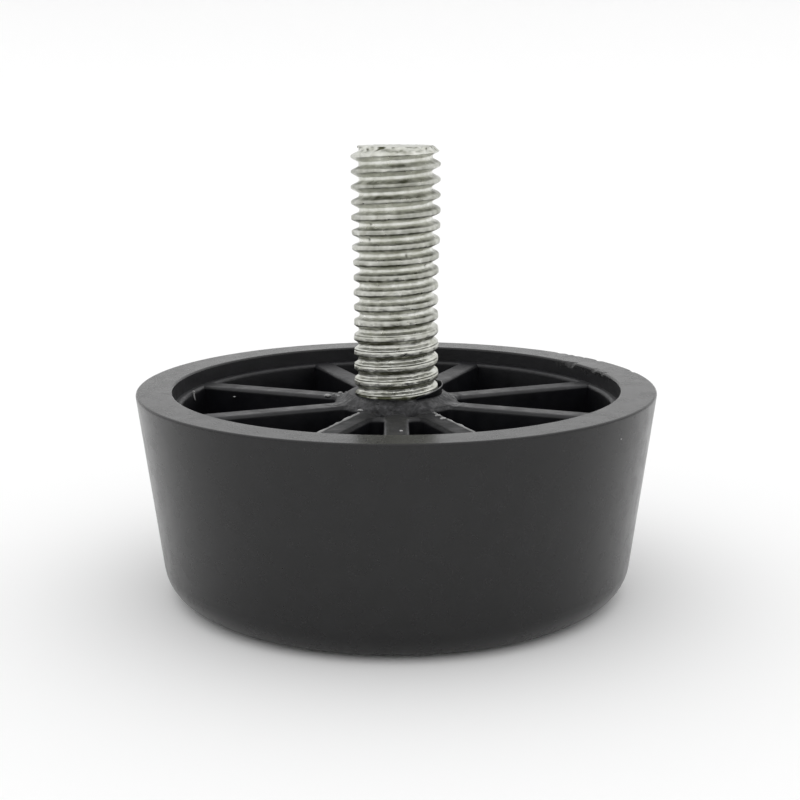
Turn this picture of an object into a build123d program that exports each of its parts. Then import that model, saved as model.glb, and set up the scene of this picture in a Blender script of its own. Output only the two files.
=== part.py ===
from build123d import *
import math
import os

# Round plastic furniture foot with a steel stud moulded into it, in millimetres.
# The origin is the middle of the underside, on the floor. +Z points up along the stud.

# Overall sizes
rim_radius = 17.5            # outside of the wall at its top, the widest place
body_height = 14.0           # floor to rim
stud_projection = 16.0       # rim to the tip of the stud

# Wall and floor of the moulding
wall_lean = 7.3              # degrees that the wall leans outwards
rim_width = 2.4              # flat ring on top of the wall
rim_edge_radius = 0.15       # blunted edges of that ring
base_corner_radius = 2.4     # round corner between the wall and the underside
floor_thickness = 2.2
ledge_drop = 1.05            # rim down to the ledge and the tops of the ribs
ledge_width = 0.45           # narrow shelf inside the wall
well_corner_radius = 0.8     # inside corner between the wall and the floor

# Ribs
rib_count = 8                # evenly spaced, with a gap centred on +X
rib_thickness = 1.6          # at the top of a rib
rib_draft = 1.0              # degrees on each side of a rib
rib_edge_radius = 0.28       # rounded top edges of the ribs and the ledge
pocket_corner_radius = 0.5   # upright corners where two ribs meet at the hub
middle_rib_angles = (90.0, 270.0)    # two more ribs, halfway across the front and back gaps

# Hub around the stud
hub_radius = 4.2             # at the tops of the ribs
collar_height = 0.55         # low cone that climbs the stud above the rib tops
collar_foot = 0.9            # how far the cone spreads out from the stud
collar_land = 0.25           # flat ring on top of the cone, against the stud

# Steel stud, a screw with a hexagonal head
thread_radius = 3.0          # over the thread, outside the moulding
core_radius = 2.675          # mean radius of the thread, where the plastic fills it
tip_chamfer = 0.5
head_width = 10.0            # across the flats of the head
head_height = 4.0
head_cover = 1.0             # plastic below the head
head_wall = 1.1              # plastic around and above the head
boss_edge_radius = 1.0       # rounded top edge of the boss that covers the head

# Heights and radii that follow from the sizes above
ledge_height = body_height - ledge_drop
collar_top = ledge_height + collar_height
stud_tip = body_height + stud_projection
head_top = head_cover + head_height
head_corner_radius = head_width / 2 / math.cos(math.radians(30))
boss_radius = head_corner_radius + head_wall
boss_top = head_top + head_wall
wall_slope = math.tan(math.radians(wall_lean))
mouth_radius = rim_radius - rim_width - ledge_drop * wall_slope
well_radius = mouth_radius - ledge_width


def leaning(radius, height, other_height):
    """Radius at other_height of a wall that has this radius at height and the lean of the outside."""
    return radius + (other_height - height) * wall_slope


def turned(points, rounded):
    """Solid turned about Z from an outline of (radius, height) points, with some corners rounded."""
    outline = make_face(Polyline(*points, close=True))
    for place, radius in rounded:
        corner = outline.vertices().sort_by_distance(place)[0]
        outline = fillet(corner, radius)
    return revolve(Plane.XZ * outline, Axis.Z)


def blank_cup():
    """Outside of the foot, filled up to the tops of the ribs and open above them."""
    foot = (leaning(rim_radius, body_height, 0), 0)
    rim_outside = (rim_radius, body_height)
    rim_inside = (rim_radius - rim_width, body_height)
    points = [(0, 0), foot, rim_outside, rim_inside, (mouth_radius, ledge_height), (0, ledge_height)]
    rounded = [(foot, base_corner_radius), (rim_outside, rim_edge_radius), (rim_inside, rim_edge_radius)]
    return turned(points, rounded)


def well():
    """Space between the wall and the axis, from the floor to the ledge, as if there were no ribs."""
    top = (well_radius, ledge_height)
    bottom = (leaning(well_radius, ledge_height, floor_thickness), floor_thickness)
    return turned([(0, floor_thickness), bottom, top, (0, ledge_height)], [(bottom, well_corner_radius)])


def boss():
    """Thicker plastic around the head of the stud, at the foot of the hub."""
    edge = (boss_radius, boss_top)
    return turned([(0, 0), (boss_radius, 0), edge, (0, boss_top)], [(edge, boss_edge_radius)])


def rib_angles():
    """Angles of all the ribs in order, in degrees from +X."""
    pitch = 360 / rib_count
    even = {round((index + 0.5) * pitch, 6) for index in range(rib_count)}
    return sorted(even | set(middle_rib_angles))


def pocket_mouth(first_angle, last_angle):
    """Outline of one pocket between two ribs, seen from above, with its upright corners rounded."""
    reach = 2 * rim_radius
    spread = (last_angle - first_angle) / 2
    tip = rib_thickness / 2 / math.sin(math.radians(spread))
    side = reach * math.tan(math.radians(spread))
    wedge = make_face(Polyline((tip, 0), (tip + reach, side), (tip + reach, -side), close=True))
    outline = wedge - Circle(hub_radius)
    outline = offset(outline, amount=-pocket_corner_radius)
    outline = offset(outline, amount=pocket_corner_radius)
    return Rot(0, 0, (first_angle + last_angle) / 2) * outline


def pockets():
    """The drafted hollows between the ribs."""
    depth = ledge_height - floor_thickness
    well_space = well()
    boss_solid = boss()
    angles = rib_angles()
    hollows = []
    for first, last in zip(angles, angles[1:] + [angles[0] + 360]):
        mouth = Pos(0, 0, ledge_height) * pocket_mouth(first, last)
        wedge = extrude(mouth, amount=depth, dir=(0, 0, -1), taper=rib_draft)
        hollows.append((wedge & well_space) - boss_solid)
    return hollows


def collar():
    """Low cone of plastic that climbs the stud above the tops of the ribs."""
    top_radius = thread_radius + collar_land
    foot_radius = thread_radius + collar_foot
    points = [(0, ledge_height), (foot_radius, ledge_height), (top_radius, collar_top), (0, collar_top)]
    return turned(points, [])


def threaded_stud():
    """Steel screw: its head lies inside the boss and its thread stands out of the collar."""
    head = Pos(0, 0, head_cover) * extrude(RegularPolygon(head_width / 2, 6, major_radius=False), head_height)
    core = Pos(0, 0, head_top) * extrude(Circle(core_radius), collar_top - head_top)
    thread = Pos(0, 0, collar_top) * extrude(Circle(thread_radius), stud_tip - collar_top)
    tip_edge = thread.edges().sort_by(Axis.Z)[-1]
    return head + core + chamfer(tip_edge, tip_chamfer)


def foot_body(stud):
    """Black moulding around the stud: a cup with ribs, a hub and a boss."""
    body = blank_cup()
    for hollow in pockets():
        body -= hollow
    level_faces = body.faces().filter_by(Axis.Z).sort_by(Axis.Z)
    ledge_face = level_faces[-2]    # only the rim is higher
    body = fillet(ledge_face.inner_wires().edges(), rib_edge_radius)
    return body + collar() - stud


stud_solid = threaded_stud()
nodes = {
    "foot_body": foot_body(stud_solid),
    "threaded_stud": stud_solid,
}

os.makedirs("parts", exist_ok=True)
for name, solid in nodes.items():
    export_step(solid, f"parts/{name}.step")
    print(name, "solids", len(solid.solids()), "volume", round(solid.volume, 2), "valid", solid.is_valid)
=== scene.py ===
import math

import bmesh
import bpy
from mathutils import Matrix, Vector, noise


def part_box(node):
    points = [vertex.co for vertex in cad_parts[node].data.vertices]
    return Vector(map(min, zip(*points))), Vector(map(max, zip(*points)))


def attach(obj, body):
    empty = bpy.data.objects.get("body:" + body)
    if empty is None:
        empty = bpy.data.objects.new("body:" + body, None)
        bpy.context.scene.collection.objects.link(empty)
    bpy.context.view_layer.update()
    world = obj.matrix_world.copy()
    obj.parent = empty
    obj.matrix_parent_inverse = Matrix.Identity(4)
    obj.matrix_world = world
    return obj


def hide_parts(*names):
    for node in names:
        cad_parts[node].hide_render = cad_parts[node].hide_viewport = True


# Plastic furniture foot with a threaded steel stud: looks, floor, light and camera.
# Lengths are in metres unless a name ends in _MM. +Z points up along the stud, and the camera looks
# along +Y. Angles round the stud are in degrees from +X. Unevenness is given as layers of noise, each
# of them its waves per millimetre and its strength.

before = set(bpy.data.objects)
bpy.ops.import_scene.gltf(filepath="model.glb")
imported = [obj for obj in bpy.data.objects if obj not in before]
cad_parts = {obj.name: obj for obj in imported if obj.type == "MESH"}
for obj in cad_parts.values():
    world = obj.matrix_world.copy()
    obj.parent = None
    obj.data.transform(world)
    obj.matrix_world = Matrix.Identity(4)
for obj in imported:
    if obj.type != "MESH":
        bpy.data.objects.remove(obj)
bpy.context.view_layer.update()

MM = 0.001
MERGE_DISTANCE = 1e-7

# Sizes of the foot that the pieces below are fitted to
STUD_TIP_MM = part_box("threaded_stud")[1].z / MM
RIM_HEIGHT_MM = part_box("foot_body")[1].z / MM
RIM_RADIUS_MM = 17.5
RIM_WIDTH_MM = 2.4
RIM_OVERLAP_MM = 0.05        # how far the rim's own plastic reaches past its inner edge
RIB_TOP_MM = 12.95
FLOOR_MIDDLE_MM = 1.5        # between the two faces of the floor
TOP_BAND_MM = 0.2            # a face this little below the tops of the ribs still counts as a top
TOP_SLOPE = 0.3              # least upward part of the normal of a face that counts as a top

# Hub, the rough middle of the moulding round the stud
STUD_GAP_MM = 3.3            # the narrow ring in shadow round the stud
HUB_RADIUS_MM = 5.0
HUB_LEVEL_MM = 0.02          # how far below the tops of the ribs a point of its top may lie
HUB_EDGE_MM = 0.30           # wanted length of the mesh's edges on its top
HUB_LUMPS_MM = [(1.6, 0.05), (4.5, 0.035)]
HUB_FADE_MM = 0.8            # width of the outer ring in which the lumps die out
COLLAR_FOOT_RADIUS_MM = 3.9  # where the cone round the stud ends
COLLAR_FILLET_MM = 0.09      # how far its sharp foot is filled
COLLAR_FILLET_WIDTH_MM = 0.25    # half the width of that filling

# Shallow valleys of the hub that lead into the two narrow front pockets
VALLEY_ANGLES = (258.75, 281.25)
VALLEY_HALF_ANGLE = 4.5
VALLEY_DEPTH_MM = 0.38
VALLEY_START_MM = (3.4, 4.4)     # radii between which a valley deepens
VALLEY_END_MM = (4.9, 5.6)       # radii between which its sides rise to the ribs
VALLEY_WALL_MM = (1.0, 0.2)      # depths below the ribs' tops between which the walls follow it

# Nicks in the rim: angle, radius, half-width and depth
RIM_NICKS_MM = [
    (44.0, 17.50, 0.25, 0.08),
    (41.0, 17.45, 0.20, 0.06),
    (38.5, 17.50, 0.24, 0.10),
    (36.0, 17.50, 0.18, 0.07),
    (30.5, 17.50, 0.28, 0.12),
    (15.0, 17.50, 0.30, 0.10),
    (33.5, 15.10, 0.18, 0.10),
    (31.5, 15.10, 0.22, 0.16),
    (20.5, 15.25, 0.22, 0.07),
    (15.0, 15.25, 0.20, 0.07),
]
NICK_LEAN = 0.7              # how far a nick leans into the wall for each millimetre down
NICK_ROUGHNESS = [(4.0, 0.6)]
NICK_EDGE_MM = 0.08          # wanted length of the mesh's edges round a nick
EDGE_GROWTH = 0.6            # longer edges are allowed away from it, by this share of the distance
EDGE_SLACK = 1.5             # an edge is halved when it is longer than allowed by this factor
REFINING_PASSES = 7
MOVED_MM = 0.004             # a point that moves less than this stays where it was

# Lip of plastic that stands beside the stud, right of it: its angles, its own radius and its heights
LIP_ANGLES = (64.0, -66.0)
LIP_RADIUS_MM = 3.09
LIP_THICKNESS_MM = 0.07
LIP_FOOT_MM = 13.45
LIP_TOP_MM = 14.20
LIP_DROP_MM = 0.25           # how much lower its front end is
LIP_RAGGED_MM = 0.05
LIP_RAGGED_WAVES = 9         # along its whole length
LIP_END_HEIGHT = 0.15        # share of its height and of its thickness that is left at its ends
LIP_END_THICKNESS = 0.4
LIP_BEVEL_MM = 0.05          # height of its bevelled edge
LIP_LEANS_MM = (0.03, 0.04, 0.05)    # how far its outer face, edge and inner face lean outwards
LIP_STEPS = 48

# Flash on the far edges of the two slanting front ribs
FLASH_RIB_ANGLES = (247.5, 292.5)
FLASHED_RIB_HALF_MM = 0.9    # half the width of such a rib with its rounded edges
FLASH_OFFSET_MM = 0.58       # from the middle of the rib
FLASH_REACH_MM = (5.0, 14.0)     # radii at which it starts and ends
FLASH_SIZE_MM = 0.10         # half its width
FLASH_UNEVENNESS_MM = [(1.5, 0.07)]
FLASH_FLATNESS = 0.8         # its height as a share of half its width
FLASH_SINK_MM = 0.02         # how far its foot lies below the tops of the ribs
FLASH_STEPS = 60
FLASH_SIDES = 6

# Specks of plastic on the hub, the ribs and the wall: x, y, z and radius
SPECKS_MM = [
    (-4.75, 1.20, 12.98, 0.17),
    (-3.90, 2.10, 12.98, 0.13),
    (-4.35, 1.62, 12.98, 0.08),
    (-3.98, 1.05, 12.98, 0.10),
    (-3.70, 1.75, 12.98, 0.07),
    (-3.45, 1.25, 13.20, 0.07),
    (-2.38, -3.74, 12.98, 0.15),
    (2.68, -5.36, 12.98, 0.15),
    (2.98, -6.26, 12.98, 0.15),
    (0.28, -9.63, 12.96, 0.09),
    (-11.47, 3.80, 12.37, 0.07),
    (13.73, -10.57, 12.62, 0.06),
]
SPECK_SHAPE = (1.3, 1.0, 0.6)        # its reach in x, y and z as shares of its radius
SPECK_LUMPS = (0.25, 0.25, 0.125)    # height of its lumps in x, y and z as shares of its radius
SPECK_LUMPS_PER_MM = 9

# Thread of flash that hangs from the inner edge of the ledge
WHISKER_ANGLE = 169.0
WHISKER_RADIUS_MM = 14.46
WHISKER_HEIGHTS_MM = (13.02, 12.35)
WHISKER_SIZE_MM = 0.08       # half its thickness at the top
WHISKER_TAPER = 0.6          # share of that which it loses towards the bottom
WHISKER_LEAN_MM = 0.1        # how far its bottom leans inwards
WHISKER_STEPS = 12
WHISKER_SIDES = 6

# Rolled right-hand thread. Its crests are sharp near the tip, and rounder and lower below.
PITCH_MM = 1.0
THREAD_START_MM = 13.0       # just under the top of the plastic
CREST_ON_X_MM = 13.8         # height of a crest where the thread crosses +X
ROOT_RADIUS_MM = 2.44
LOW_ROOT_RISE_MM = 0.12      # how much shallower the groove is in the lowest turns
SHARP_CREST_RADIUS_MM = 2.98
ROUND_CREST_RADIUS_MM = 2.84
SHARP_TURNS_MM = (4.6, 3.6)  # distances below the tip between which the crests turn sharp
WIDE_TURNS_MM = (9.0, 4.0)   # distances below the tip between which they reach their full radius
LOW_TURNS_MM = (4.0, 6.5)    # heights above the start between which the lowest turns end
CREST_FLAT = 0.20            # share of the pitch that a crest is flat over
CREST_FLAT_CHANGE = 0.12     # how much less that is in the sharp turns, and more in the lowest
GROOVE_SHARE = 0.86          # where a flank meets the groove, as a share of the way to its middle
SEAM_ABOVE_CREST = 0.13      # fine seam above the crests of the lowest turns, as shares of the pitch
SEAM_HALF_WIDTH = 0.05
SEAM_DEPTH_MM = 0.05
THREAD_ROUGHNESS_MM = [(1.3, 0.030), (4.0, 0.022)]
STEPS_PER_TURN = 160
PROFILE_POINTS = 28
SHARP_EDGE_ANGLE = 50        # edges that bend by more than this are drawn sharp

# Rough, stained tip of the stud
TIP_RADIUS_MM = 2.45         # where the chamfer ends
TIP_RAGGEDNESS_MM = [(2.2, 0.16)]
BURR_BELOW_TIP_MM = (0.5, 0.1)   # distances below the tip between which the burr begins
BURR_DEPTH_MM = 0.16
BURR_WAVES = 6               # per radian round the edge
TIP_STAIN = [(3.3, 1.6)]
CAP_RINGS = (0.94, 0.85, 0.75, 0.65, 0.50)   # each ring of the flat end as a share of the one outside it
CAP_ROUGHNESS_MM = [(1.5, 0.03)]
CAP_GRIME = 0.25
CAP_GRIME_PATCHES = [(2.0, 0.3)]

# Bands of painted shade and olive grime along the thread: share of the pitch below the crest, half-width as
# a share of it, strength
TOP_SHADE_AND_GRIME = [(-0.24, 0.14, 0.65), (0.03, 0.13, 0.40)]
MIDDLE_SHADE_AND_GRIME = [(-0.24, 0.07, 0.60), (0.0, 0.18, 0.42), (0.20, 0.09, 0.75)]
BOTTOM_SHADE_AND_GRIME = [(-0.14, 0.04, 0.45), (0.0, 0.50, 0.15), (0.30, 0.15, 1.00)]
SHADE_AND_GRIME_PATCHES = [(0.9, 0.7), (3.1, 0.5)]
FAINTER_BELOW_TIP_MM = (1.0, 0.6)    # distances below the tip between which the painted shade and grime thin out
FAINTER_SHARE = 0.6                  # share of it that is gone from there on
FOOT_SHADE_MM = (13.60, 13.74)       # heights between which the painted shade at the foot of the stud, where it goes into the plastic, ends

# Pits and smears on the thread: angle, distance below the tip, half-widths round the thread and up it,
# and depth
THREAD_PITS_MM = [
    (225, 6.0, 0.10, 0.10, 0.06),
    (228, 5.0, 0.09, 0.09, 0.04),
    (250, 3.2, 0.70, 0.10, 0.015),
    (256, 0.2, 0.45, 0.10, 0.015),
    (272, 0.3, 0.35, 0.08, 0.010),
    (286, 7.0, 0.10, 0.12, 0.05),
    (321, 7.7, 0.12, 0.12, 0.06),
    (336, 7.6, 0.10, 0.10, 0.05),
]
DARK_PIT_MM = 0.035          # depth from which a pit is fully dark

# Regions of the moulding, in the order in which it is given their plastics
OUTSIDE, POCKETS, TOPS, HUB, FLASHED_TOPS = range(5)

# Plastics: base colour, level of shine, least and greatest roughness, depth of the grain in millimetres
PLASTICS = {
    "black_plastic": ((0.0042, 0.0042, 0.0046), 0.42, (0.22, 0.30), 0.002),
    # Pocket plastic: about as dark as the black plastic but less shiny, as painted shade in the pockets,
    # the ring round the stud and the sides of the lip
    "shade_plastic": ((0.0040, 0.0040, 0.0054), 0.27, (0.34, 0.48), 0.012),
    "rib_top_plastic": ((0.0160, 0.0160, 0.0180), 0.34, (0.30, 0.52), 0.034),
    # Pale grey that paints the highlight along the flash beads and the top edge of the lip
    "flash_highlight_plastic": ((0.24, 0.24, 0.24), 0.40, (0.40, 0.55), 0.010),
    # Pale grey that paints highlights on the specks and the whisker
    "flaw_highlight_plastic": ((0.34, 0.34, 0.34), 0.40, (0.45, 0.60), 0.010),
    # Darker, less shiny copy of the rib top plastic, as painted shade on the tops of the two slanting front
    # ribs
    "shaded_top_plastic": ((0.0120, 0.0120, 0.0135), 0.18, (0.40, 0.60), 0.034),
}
PLASTIC_IOR = 1.5
TONE_SPREAD = 0.3            # how much darker and lighter a plastic gets in patches
PATCHES_LOW, PATCHES_HIGH = 0.3, 0.7     # a ramp over a noise texture runs between these values

# Camera: where it stands, where it looks and how long its lens is
CAMERA_BACK = 0.0976
CAMERA_HEIGHT = 0.0333
CAMERA_PITCH = math.radians(11.81)
CAMERA_YAW = math.radians(0.143)
CAMERA_ROLL = math.radians(-0.16)
LENS_MM = 65.8


def smooth_step(low, high, value):
    """0 below low, 1 above high, and an even curve between them."""
    share = min(1.0, max(0.0, (value - low) / (high - low)))
    return share * share * (3 - 2 * share)


def near_tip(distances, height):
    """0 far below the tip of the stud and 1 close to it. It changes between two distances below the tip."""
    far, near = distances
    return smooth_step(STUD_TIP_MM - far, STUD_TIP_MM - near, height)


def bell(offset, half_width):
    """1 where offset is 0, falling to nothing on both sides."""
    return math.exp(-(offset / half_width) ** 2)


def rough(spot, layers):
    """Sum of layers of noise at a point. Each layer is its waves per millimetre and its strength."""
    return sum(strength * noise.noise(spot * per_mm) for per_mm, strength in layers)


def on_circle(angle, radius, height):
    """A point in millimetres at an angle in degrees from +X."""
    return Vector((radius * math.cos(math.radians(angle)), radius * math.sin(math.radians(angle)), height))


def add_piece(name, mesh, *materials):
    """A smooth-shaded object made from a bmesh."""
    data = bpy.data.meshes.new(name)
    mesh.to_mesh(data)
    mesh.free()
    for face in data.polygons:
        face.use_smooth = True
    for material in materials:
        data.materials.append(material)
    piece = bpy.data.objects.new(name, data)
    bpy.context.scene.collection.objects.link(piece)
    return piece


def bridge_rows(mesh, rows):
    """Faces of a bar between rows of points, with both ends closed."""
    for row, after in zip(rows, rows[1:]):
        for point in range(len(row)):
            beside = (point + 1) % len(row)
            mesh.faces.new((row[point], row[beside], after[beside], after[point]))
    mesh.faces.new(rows[0])
    mesh.faces.new(rows[-1])
    bmesh.ops.recalc_face_normals(mesh, faces=mesh.faces)


def shader_nodes(name):
    """A new material with its node tree and its main shader."""
    material = bpy.data.materials.new(name)
    material.use_nodes = True
    tree = material.node_tree
    return material, tree, tree.nodes["Principled BSDF"]


def noise_texture(tree, per_mm, detail=3.0, roughness=0.5):
    """A noise texture in object space, with so many features per millimetre."""
    place = tree.nodes.new("ShaderNodeTexCoord")
    pattern = tree.nodes.new("ShaderNodeTexNoise")
    pattern.inputs["Scale"].default_value = per_mm / MM
    pattern.inputs["Detail"].default_value = detail
    pattern.inputs["Roughness"].default_value = roughness
    tree.links.new(place.outputs["Object"], pattern.inputs["Vector"])
    return pattern.outputs["Fac"]


def ramp(tree, value, stops):
    """A colour ramp over a value. Each stop is a place from 0 to 1, and a colour or a grey."""
    node = tree.nodes.new("ShaderNodeValToRGB")
    elements = node.color_ramp.elements
    while len(elements) < len(stops):
        elements.new(0.5)
    for element, (place, colour) in zip(elements, stops):
        element.position = place
        element.color = (*colour, 1.0) if isinstance(colour, tuple) else (colour, colour, colour, 1.0)
    tree.links.new(value, node.inputs["Fac"])
    return node.outputs["Color"]


def mix(tree, share, first, second):
    """The first colour where share is 0 and the second where it is 1."""
    node = tree.nodes.new("ShaderNodeMix")
    node.data_type = "RGBA"
    tree.links.new(share, node.inputs["Factor"])
    for socket, colour in ((node.inputs["A"], first), (node.inputs["B"], second)):
        if isinstance(colour, tuple):
            socket.default_value = (*colour, 1.0)
        else:
            tree.links.new(colour, socket)
    return node.outputs["Result"]


def bumps(tree, shader, layers):
    """Bumps on the shader's normal. Each layer is a height output and its depth in millimetres."""
    normal = None
    for height, depth_mm in layers:
        node = tree.nodes.new("ShaderNodeBump")
        node.inputs["Distance"].default_value = depth_mm * MM
        tree.links.new(height, node.inputs["Height"])
        if normal:
            tree.links.new(normal, node.inputs["Normal"])
        normal = node.outputs["Normal"]
    tree.links.new(normal, shader.inputs["Normal"])


def plastic(name, colour, shine, roughness_range, grain_mm):
    """Moulded plastic with a fine grain and soft uneven gloss."""
    material, tree, shader = shader_nodes(name)
    shader.inputs["IOR"].default_value = PLASTIC_IOR
    shader.inputs["Specular IOR Level"].default_value = shine
    clouds = noise_texture(tree, per_mm=0.8, detail=4.0)
    dark = tuple((1 - TONE_SPREAD) * share for share in colour)
    light = tuple((1 + TONE_SPREAD) * share for share in colour)
    tone = ramp(tree, clouds, [(PATCHES_LOW, dark), (PATCHES_HIGH, light)])
    tree.links.new(tone, shader.inputs["Base Color"])
    smears = noise_texture(tree, per_mm=0.9, detail=4.0)
    roughness_low, roughness_high = roughness_range
    roughness = ramp(tree, smears, [(PATCHES_LOW, roughness_low), (PATCHES_HIGH, roughness_high)])
    tree.links.new(roughness, shader.inputs["Roughness"])
    swells = noise_texture(tree, per_mm=0.5, detail=2.0)
    grain = noise_texture(tree, per_mm=4.0)
    bumps(tree, shader, [(swells, 2 * grain_mm), (grain, grain_mm)])
    return material


def mottled_plastic():
    """The rough, cloudy plastic of the hub."""
    material, tree, shader = shader_nodes("hub_plastic")
    shader.inputs["IOR"].default_value = PLASTIC_IOR
    shader.inputs["Specular IOR Level"].default_value = 0.34
    clouds = noise_texture(tree, per_mm=2.2, detail=5.0, roughness=0.7)
    dark, middle, light = (0.006, 0.006, 0.007), (0.018, 0.018, 0.020), (0.060, 0.060, 0.064)
    tone = ramp(tree, clouds, [(0.40, dark), (0.52, middle), (0.66, light)])
    tree.links.new(tone, shader.inputs["Base Color"])
    smears = noise_texture(tree, per_mm=1.6, detail=4.0)
    roughness = ramp(tree, smears, [(0.35, 0.26), (0.65, 0.60)])
    tree.links.new(roughness, shader.inputs["Roughness"])
    lumps = noise_texture(tree, per_mm=1.1, detail=2.0)
    grain = noise_texture(tree, per_mm=3.0)
    bumps(tree, shader, [(lumps, 0.16), (grain, 0.05)])
    return material


def zinc_steel():
    """Dull zinc plating, with pits, and olive colour where the thread's own attribute asks for it: grime,
    and painted shade in bands along the thread.
    """
    material, tree, shader = shader_nodes("zinc_steel")
    shader.inputs["Metallic"].default_value = 1.0
    clouds = noise_texture(tree, per_mm=1.4, detail=5.0)
    dull_zinc, bright_zinc = (0.56, 0.565, 0.50), (0.84, 0.845, 0.80)
    clean = ramp(tree, clouds, [(PATCHES_LOW, dull_zinc), (PATCHES_HIGH, bright_zinc)])
    shade_and_grime = tree.nodes.new("ShaderNodeAttribute")
    shade_and_grime.attribute_name = "shade_and_grime"
    # Olive that paints shade in bands along the thread and stands for grime on it
    olive_shade_and_grime = (0.080, 0.083, 0.052)
    colour = mix(tree, shade_and_grime.outputs["Fac"], clean, olive_shade_and_grime)
    tree.links.new(colour, shader.inputs["Base Color"])
    smears = noise_texture(tree, per_mm=3.0)
    roughness = ramp(tree, smears, [(PATCHES_LOW, 0.25), (PATCHES_HIGH, 0.5)])
    tree.links.new(roughness, shader.inputs["Roughness"])
    dents = noise_texture(tree, per_mm=1.8, detail=4.0)
    pits = noise_texture(tree, per_mm=6.0)
    bumps(tree, shader, [(dents, 0.08), (pits, 0.02)])
    return material


def pale_paper():
    """Matt white of the floor and the low wall round it."""
    material, _, shader = shader_nodes("pale_paper")
    shader.inputs["Base Color"].default_value = (0.93, 0.93, 0.93, 1)
    shader.inputs["Roughness"].default_value = 0.9
    shader.inputs["Specular IOR Level"].default_value = 0.0
    return material


def on_hub(spot):
    """True for a point in millimetres on top of the hub."""
    return spot.z > RIB_TOP_MM - HUB_LEVEL_MM and math.hypot(spot.x, spot.y) < HUB_RADIUS_MM


def on_flashed_rib(spot):
    """True for a point in millimetres on one of the two ribs that carry flash, outside the hub."""
    directions = [on_circle(angle, 1, 0) for angle in FLASH_RIB_ANGLES]
    return any(along.dot(spot) > HUB_RADIUS_MM and abs(along.cross(spot).z) < FLASHED_RIB_HALF_MM
               for along in directions)


def needs_cut(edge, nicks):
    """True for an edge that is long for the top of the hub or for its distance from the nearest nick."""
    first, second = (vertex.co / MM for vertex in edge.verts)
    length = (first - second).length
    if length < EDGE_SLACK * NICK_EDGE_MM:
        return False
    if length > EDGE_SLACK * HUB_EDGE_MM and (on_hub(first) or on_hub(second)):
        return True
    gap = min((spot - centre).length - half_width
              for centre, half_width in nicks for spot in (first, (first + second) / 2, second))
    return length > EDGE_SLACK * max(NICK_EDGE_MM, EDGE_GROWTH * gap)


def nicked(spot):
    """Where the nicks move a point, in millimetres."""
    middle_radius = RIM_RADIUS_MM - RIM_WIDTH_MM / 2
    for angle, radius, half_width, depth in RIM_NICKS_MM:
        into_wall = math.copysign(NICK_LEAN, middle_radius - radius)
        direction = (on_circle(angle, into_wall, 0) - Vector((0, 0, 1))).normalized()
        distance = (spot - on_circle(angle, radius, RIM_HEIGHT_MM)).length
        distance *= 1 + rough(spot, NICK_ROUGHNESS)
        spot = spot + direction * depth * bell(distance, half_width)
    return spot


def lumpy(spot):
    """Where the uneven top of the hub and the filled foot of its cone move a point, in millimetres."""
    if not on_hub(spot):
        return spot
    reach = math.hypot(spot.x, spot.y)
    weight = 1 - smooth_step(HUB_RADIUS_MM - HUB_FADE_MM, HUB_RADIUS_MM, reach)
    fillet = COLLAR_FILLET_MM * bell(reach - COLLAR_FOOT_RADIUS_MM, COLLAR_FILLET_WIDTH_MM)
    return spot + Vector((0, 0, weight * (rough(spot, HUB_LUMPS_MM) + fillet)))


def sunk(spot):
    """Where the valleys of the hub move a point, in millimetres."""
    reach = math.hypot(spot.x, spot.y)
    wall_foot, wall_top = (RIB_TOP_MM - depth for depth in VALLEY_WALL_MM)
    if reach > VALLEY_END_MM[1] or spot.z < wall_foot:
        return spot
    angle = math.degrees(math.atan2(spot.y, spot.x)) % 360
    share = sum(bell(angle - middle, VALLEY_HALF_ANGLE) for middle in VALLEY_ANGLES)
    share *= smooth_step(*VALLEY_START_MM, reach) * (1 - smooth_step(*VALLEY_END_MM, reach))
    share *= smooth_step(wall_foot, wall_top, spot.z)
    return spot - Vector((0, 0, VALLEY_DEPTH_MM * share))


def moulding_region(middle, normal):
    """The region of the moulding in which a face lies, from its middle in millimetres and its normal."""
    reach = math.hypot(middle.x, middle.y)
    if reach > RIM_RADIUS_MM - RIM_WIDTH_MM - RIM_OVERLAP_MM or middle.z < FLOOR_MIDDLE_MM:
        return OUTSIDE
    # Low and steep faces and the ring round the stud get the less shiny pocket plastic as painted shade
    if middle.z < RIB_TOP_MM - TOP_BAND_MM or normal.z < TOP_SLOPE or reach < STUD_GAP_MM:
        return POCKETS
    if reach < HUB_RADIUS_MM:
        return HUB
    # The two slanting front ribs get the darker, less shiny top plastic as painted shade
    return FLASHED_TOPS if on_flashed_rib(Vector((middle.x, middle.y, 0))) else TOPS


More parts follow.
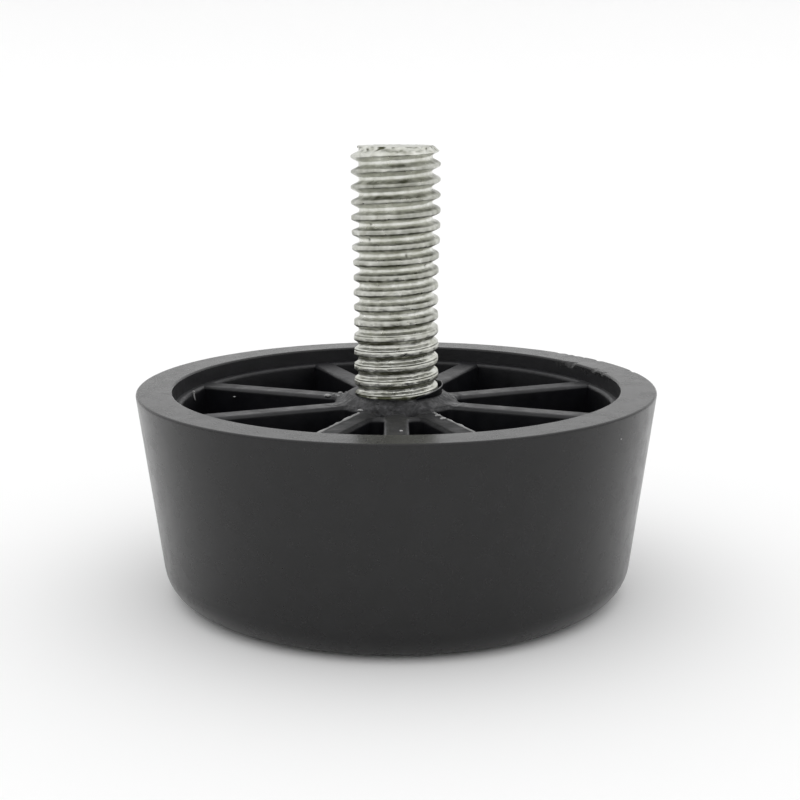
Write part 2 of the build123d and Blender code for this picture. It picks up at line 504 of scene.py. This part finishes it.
def foot_moulding(*materials):
    """The moulding's own mesh, with nicks in its rim and an uneven hub, and its plain normals elsewhere."""
    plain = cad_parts["foot_body"].data
    mesh = bmesh.new()
    mesh.from_mesh(plain)
    normal_layer = mesh.loops.layers.float_vector.new("plain_normal")
    loops = [loop for face in mesh.faces for loop in face.loops]
    for loop, normal in zip(loops, plain.corner_normals):
        loop[normal_layer] = normal.vector
    bmesh.ops.remove_doubles(mesh, verts=mesh.verts, dist=MERGE_DISTANCE)
    nicks = [(on_circle(angle, radius, RIM_HEIGHT_MM), half_width)
             for angle, radius, half_width, _ in RIM_NICKS_MM]
    for _ in range(REFINING_PASSES):
        long_edges = [edge for edge in mesh.edges if needs_cut(edge, nicks)]
        bmesh.ops.subdivide_edges(mesh, edges=long_edges, cuts=1)
        bmesh.ops.triangulate(mesh, faces=[face for face in mesh.faces if len(face.verts) > 3])
    moved = set()
    for vertex in mesh.verts:
        place = sunk(lumpy(nicked(vertex.co / MM))) * MM
        if (place - vertex.co).length > MOVED_MM * MM:
            moved.add(vertex)
            vertex.co = place
    normals = []
    for face in mesh.faces:
        face.material_index = moulding_region(face.calc_center_median() / MM, face.normal)
        for loop in face.loops:
            normals.append(Vector() if loop.vert in moved else loop[normal_layer].normalized())
    mesh.loops.layers.float_vector.remove(normal_layer)
    piece = add_piece("foot_moulding", mesh, *materials)
    piece.data.normals_split_custom_set(normals)
    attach(piece, "root")
    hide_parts("foot_body")


def add_flaw(name, mesh, *materials):
    """A small flaw of the moulding, as a piece of its own."""
    piece = add_piece(name, mesh, *materials)
    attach(piece, "root")


def hub_lip(lit_edge_material, shaded_side_material):
    """Thin lip of plastic that the mould left beside the stud, its top edge pale as a painted highlight and
    its sides dark as painted shade.
    """
    outer_lean, edge_lean, inner_lean = LIP_LEANS_MM
    mesh = bmesh.new()
    rows = []
    for step in range(LIP_STEPS + 1):
        share = step / LIP_STEPS
        angle = LIP_ANGLES[0] + (LIP_ANGLES[1] - LIP_ANGLES[0]) * share
        swell = math.sin(math.pi * share) ** 0.5
        ragged = LIP_RAGGED_MM * noise.noise(Vector((share * LIP_RAGGED_WAVES, 0, 0)))
        full_height = LIP_TOP_MM - LIP_FOOT_MM - LIP_DROP_MM * share + ragged
        top = LIP_FOOT_MM + full_height * (LIP_END_HEIGHT + (1 - LIP_END_HEIGHT) * swell)
        half = LIP_THICKNESS_MM / 2 * (LIP_END_THICKNESS + (1 - LIP_END_THICKNESS) * swell)
        radius = LIP_RADIUS_MM + ragged
        row = [
            on_circle(angle, radius - half, LIP_FOOT_MM),
            on_circle(angle, radius + half, LIP_FOOT_MM),
            on_circle(angle, radius + half + outer_lean, top - LIP_BEVEL_MM),
            on_circle(angle, radius + edge_lean, top),
            on_circle(angle, radius - half + inner_lean, top - LIP_BEVEL_MM),
        ]
        rows.append([mesh.verts.new(spot * MM) for spot in row])
    bridge_rows(mesh, rows)
    # Upward faces get the pale plastic as a painted highlight along the edge, the others the less shiny
    # pocket plastic as painted shade
    for face in mesh.faces:
        face.material_index = 0 if face.normal.z > TOP_SLOPE else 1
    add_flaw("hub_lip", mesh, lit_edge_material, shaded_side_material)


def rib_flash(name, angle, material):
    """Low uneven bead along the far edge of a rib, whose pale plastic paints the highlight on that edge."""
    away = Vector((0, 1, 0))
    up = Vector((0, 0, 1))
    along = on_circle(angle, 1, 0)
    across = (away - along * away.dot(along)).normalized()
    start, end = FLASH_REACH_MM
    mesh = bmesh.new()
    rows = []
    for step in range(FLASH_STEPS + 1):
        reach = start + (end - start) * step / FLASH_STEPS
        centre = along * reach + across * FLASH_OFFSET_MM + up * (RIB_TOP_MM - FLASH_SINK_MM)
        size = FLASH_SIZE_MM + rough(centre, FLASH_UNEVENNESS_MM)
        row = []
        for side in range(FLASH_SIDES + 1):
            turn = math.pi * side / FLASH_SIDES
            rise = FLASH_FLATNESS * math.sin(turn)
            row.append(centre + (across * math.cos(turn) + up * rise) * size)
        rows.append([mesh.verts.new(spot * MM) for spot in row])
    bridge_rows(mesh, rows)
    add_flaw(name, mesh, material)


def specks(material):
    """Crumbs of plastic on the hub, the ribs and the wall, pale as painted highlights."""
    mesh = bmesh.new()
    for x, y, z, radius in SPECKS_MM:
        place = Matrix.Translation(Vector((x, y, z)) * MM) @ Matrix.Diagonal((*SPECK_SHAPE, 1))
        made = bmesh.ops.create_icosphere(mesh, subdivisions=3, radius=radius * MM, matrix=place)
        for vertex in made["verts"]:
            lump = noise.noise(vertex.co / MM * SPECK_LUMPS_PER_MM)
            vertex.co += Vector(SPECK_LUMPS) * radius * lump * MM
    add_flaw("plastic_specks", mesh, material)


def whisker(material):
    """Thread of flash that hangs from the inner edge of the ledge, pale as a painted highlight."""
    top, bottom = WHISKER_HEIGHTS_MM
    mesh = bmesh.new()
    rows = []
    for step in range(WHISKER_STEPS + 1):
        share = step / WHISKER_STEPS
        radius = WHISKER_RADIUS_MM - WHISKER_LEAN_MM * share ** 2
        centre = on_circle(WHISKER_ANGLE, radius, top + (bottom - top) * share)
        size = WHISKER_SIZE_MM * (1 - WHISKER_TAPER * share)
        rows.append([mesh.verts.new((centre + on_circle(360 * side / WHISKER_SIDES, size, 0)) * MM)
                     for side in range(WHISKER_SIDES)])
    bridge_rows(mesh, rows)
    add_flaw("flash_whisker", mesh, material)


def band_sum(bands, below_crest):
    """How strong some bands of painted shade and grime are together, at a share of the pitch below the
    crest.
    """
    total = 0.0
    for centre, half_width, strength in bands:
        offset = (below_crest - centre + 0.5) % 1.0 - 0.5
        total += strength * bell(offset, half_width)
    return total


def thread_form(below_crest, height):
    """Radius of the thread and how much painted shade and grime it gets, at a share of the pitch below the
    crest.
    """
    sharp = near_tip(SHARP_TURNS_MM, height)
    wide = near_tip(WIDE_TURNS_MM, height)
    low = 1 - smooth_step(*(THREAD_START_MM + rise for rise in LOW_TURNS_MM), height)
    crest_radius = ROUND_CREST_RADIUS_MM + (SHARP_CREST_RADIUS_MM - ROUND_CREST_RADIUS_MM) * wide
    root_radius = ROOT_RADIUS_MM + LOW_ROOT_RISE_MM * low
    flat_share = CREST_FLAT + CREST_FLAT_CHANGE * (low - sharp)
    to_groove = abs(below_crest) * 2
    climb = 1 - smooth_step(flat_share, GROOVE_SHARE, to_groove)
    seam = SEAM_DEPTH_MM * low * bell(below_crest + SEAM_ABOVE_CREST, SEAM_HALF_WIDTH)
    radius = root_radius + (crest_radius - root_radius) * climb - seam
    # The bands paint shade along the flanks and crests in olive, mixed with some grime
    shade_and_grime = (sharp * band_sum(TOP_SHADE_AND_GRIME, below_crest)
             + (1 - sharp) * (1 - low) * band_sum(MIDDLE_SHADE_AND_GRIME, below_crest)
             + low * band_sum(BOTTOM_SHADE_AND_GRIME, below_crest))
    return radius, shade_and_grime


def pitted(angle, height):
    """Depth in millimetres of the pits at a place on the thread, and how dark they make it."""
    depth, dark = 0.0, 0.0
    for pit_angle, below_tip, half_round, half_up, pit_depth in THREAD_PITS_MM:
        turn = (angle - pit_angle + 180) % 360 - 180
        round_thread = math.radians(turn) * SHARP_CREST_RADIUS_MM
        up_thread = height - STUD_TIP_MM + below_tip
        share = bell(round_thread, half_round) * bell(up_thread, half_up)
        depth += pit_depth * share
        dark += share * min(1.0, pit_depth / DARK_PIT_MM)
    return depth, dark


def thread_point(turn, height):
    """A point of the thread in millimetres, and its painted shade and grime from 0 to 1, at a turn in
    radians.
    """
    outward = Vector((math.cos(turn), math.sin(turn), 0))
    turns_below = (CREST_ON_X_MM - height) / PITCH_MM + turn / (2 * math.pi)
    below_crest = (turns_below + 0.5) % 1.0 - 0.5
    radius, shade_and_grime = thread_form(below_crest, height)
    pit_depth, pit_dark = pitted(math.degrees(turn), height)
    spot = outward * radius + Vector((0, 0, height))
    radius += rough(spot, THREAD_ROUGHNESS_MM) - pit_depth
    burr = near_tip(BURR_BELOW_TIP_MM, height)
    height -= BURR_DEPTH_MM * burr * max(0.0, noise.noise(outward * BURR_WAVES))
    chamfer_radius = TIP_RADIUS_MM + STUD_TIP_MM - height + rough(spot, TIP_RAGGEDNESS_MM)
    radius = min(radius, SHARP_CREST_RADIUS_MM, chamfer_radius)
    fainter = 1 - FAINTER_SHARE * near_tip(FAINTER_BELOW_TIP_MM, height)
    # The foot of the stud, where it goes into the plastic, is painted fully olive as shade; near the tip
    # the stain is a smear on the metal
    foot_shade_and_tip_stain = 1 - smooth_step(*FOOT_SHADE_MM, height) + burr * max(0.0, rough(spot, TIP_STAIN))
    patches = 1 + rough(spot, SHADE_AND_GRIME_PATCHES)
    shade_and_grime = min(1.0, max(0.0, (shade_and_grime * fainter + pit_dark + foot_shade_and_tip_stain) * patches))
    return outward * radius + Vector((0, 0, height)), shade_and_grime


def close_tip(mesh, shade_and_grime_layer):
    """Nearly flat end of the stud inside its rough edge."""
    upper_faces = [face for face in mesh.faces if face.calc_center_median().z > RIM_HEIGHT_MM * MM]
    cap = max(upper_faces, key=lambda face: len(face.verts))
    for shrink in CAP_RINGS:
        cap = bmesh.ops.extrude_discrete_faces(mesh, faces=[cap])["faces"][0]
        for vertex in cap.verts:
            spot = vertex.co * shrink / MM
            spot.z = STUD_TIP_MM - abs(rough(spot, CAP_ROUGHNESS_MM))
            vertex.co = spot * MM
            vertex[shade_and_grime_layer] = CAP_GRIME + rough(spot, CAP_GRIME_PATCHES)
    bmesh.ops.poke(mesh, faces=[cap])


def stud_thread(material):
    """The part of the stud that stands out of the plastic, with its thread and rough tip."""
    turns = math.ceil((STUD_TIP_MM - THREAD_START_MM) / PITCH_MM) + 1
    mesh = bmesh.new()
    # The attribute carries painted shade and grime for the zinc's olive colour
    shade_and_grime_layer = mesh.verts.layers.float.new("shade_and_grime")
    rows = []
    for step in range(turns * STEPS_PER_TURN + 1):
        row = []
        for point in range(PROFILE_POINTS):
            climb = (step / STEPS_PER_TURN + point / PROFILE_POINTS - 1) * PITCH_MM
            height = min(STUD_TIP_MM, max(THREAD_START_MM, THREAD_START_MM + climb))
            spot, shade_and_grime = thread_point(2 * math.pi * step / STEPS_PER_TURN, height)
            vertex = mesh.verts.new(spot * MM)
            vertex[shade_and_grime_layer] = shade_and_grime
            row.append(vertex)
        rows.append(row)
    for step in range(len(rows) - 1):
        for point in range(PROFILE_POINTS):
            if point + 1 < PROFILE_POINTS:
                upper = (rows[step][point + 1], rows[step + 1][point + 1])
            elif step + 1 + STEPS_PER_TURN < len(rows):
                upper = (rows[step + STEPS_PER_TURN][0], rows[step + 1 + STEPS_PER_TURN][0])
            else:
                continue
            mesh.faces.new((rows[step][point], rows[step + 1][point], upper[1], upper[0]))
    bmesh.ops.remove_doubles(mesh, verts=mesh.verts, dist=MERGE_DISTANCE)
    bmesh.ops.holes_fill(mesh, edges=[edge for edge in mesh.edges if edge.is_boundary], sides=0)
    close_tip(mesh, shade_and_grime_layer)
    bmesh.ops.recalc_face_normals(mesh, faces=mesh.faces)
    piece = add_piece("stud_thread", mesh, material)
    piece.data.set_sharp_from_angle(angle=math.radians(SHARP_EDGE_ANGLE))
    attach(piece, "root")
    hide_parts("threaded_stud")


def backdrop():
    """Pale floor that curves up all round into a low wall, so that no horizon shows."""
    flat_radius, wall_radius, wall_height = 0.35, 0.60, 0.10
    floor_rings, curve_rings, ring_points = 8, 24, 96
    outline = [Vector((flat_radius * ring / floor_rings, 0, 0)) for ring in range(1, floor_rings + 1)]
    for ring in range(1, curve_rings + 1):
        turn = math.pi / 2 * ring / curve_rings
        reach = flat_radius + (wall_radius - flat_radius) * math.sin(turn)
        outline.append(Vector((reach, 0, wall_height * (1 - math.cos(turn)))))
    mesh = bmesh.new()
    centre = mesh.verts.new((0, 0, 0))
    turns = [Matrix.Rotation(2 * math.pi * point / ring_points, 3, "Z") for point in range(ring_points)]
    rings = [[mesh.verts.new(turn @ spot) for turn in turns] for spot in outline]
    for point in range(ring_points):
        after = (point + 1) % ring_points
        mesh.faces.new((centre, rings[0][point], rings[0][after]))
        for inner, outer in zip(rings, rings[1:]):
            mesh.faces.new((inner[point], outer[point], outer[after], inner[after]))
    add_piece("backdrop", mesh, pale_paper())


def room_light():
    """Soft white light from all round, a little brighter overhead than low down."""
    low_direction, high_direction = 0.1, 0.8     # upward parts of the directions between which it changes
    low_strength, high_strength = 0.80, 1.20
    world = bpy.data.worlds.new("room")
    world.use_nodes = True
    tree = world.node_tree
    background = tree.nodes["Background"]
    background.inputs["Color"].default_value = (1, 1, 1, 1)
    direction = tree.nodes.new("ShaderNodeTexCoord")
    parts = tree.nodes.new("ShaderNodeSeparateXYZ")
    strength = tree.nodes.new("ShaderNodeMapRange")
    strength.inputs["From Min"].default_value = low_direction
    strength.inputs["From Max"].default_value = high_direction
    strength.inputs["To Min"].default_value = low_strength
    strength.inputs["To Max"].default_value = high_strength
    tree.links.new(direction.outputs["Generated"], parts.inputs["Vector"])
    tree.links.new(parts.outputs["Z"], strength.inputs["Value"])
    tree.links.new(strength.outputs["Result"], background.inputs["Strength"])
    bpy.context.scene.world = world


def photo_camera():
    """The camera at the photo's viewing angle."""
    data = bpy.data.cameras.new("camera")
    data.sensor_width = 36
    data.lens = LENS_MM
    data.clip_start, data.clip_end = 0.005, 10
    camera = bpy.data.objects.new("camera", data)
    turn = (Matrix.Rotation(-CAMERA_YAW, 4, "Z") @ Matrix.Rotation(math.pi / 2 - CAMERA_PITCH, 4, "X")
            @ Matrix.Rotation(CAMERA_ROLL, 4, "Z"))
    camera.matrix_world = Matrix.Translation((0, -CAMERA_BACK, CAMERA_HEIGHT)) @ turn
    bpy.context.scene.collection.objects.link(camera)
    bpy.context.scene.camera = camera


plastics = {name: plastic(name, *recipe) for name, recipe in PLASTICS.items()}
foot_moulding(plastics["black_plastic"], plastics["shade_plastic"], plastics["rib_top_plastic"],
              mottled_plastic(), plastics["shaded_top_plastic"])
hub_lip(plastics["flash_highlight_plastic"], plastics["shade_plastic"])
for side, rib_angle in zip(("left", "right"), FLASH_RIB_ANGLES):
    rib_flash(f"rib_flash_{side}", rib_angle, plastics["flash_highlight_plastic"])
specks(plastics["flaw_highlight_plastic"])
whisker(plastics["flaw_highlight_plastic"])
stud_thread(zinc_steel())
backdrop()
room_light()
photo_camera()
bpy.context.scene.view_settings.view_transform = "Standard"

bpy.context.view_layer.update()
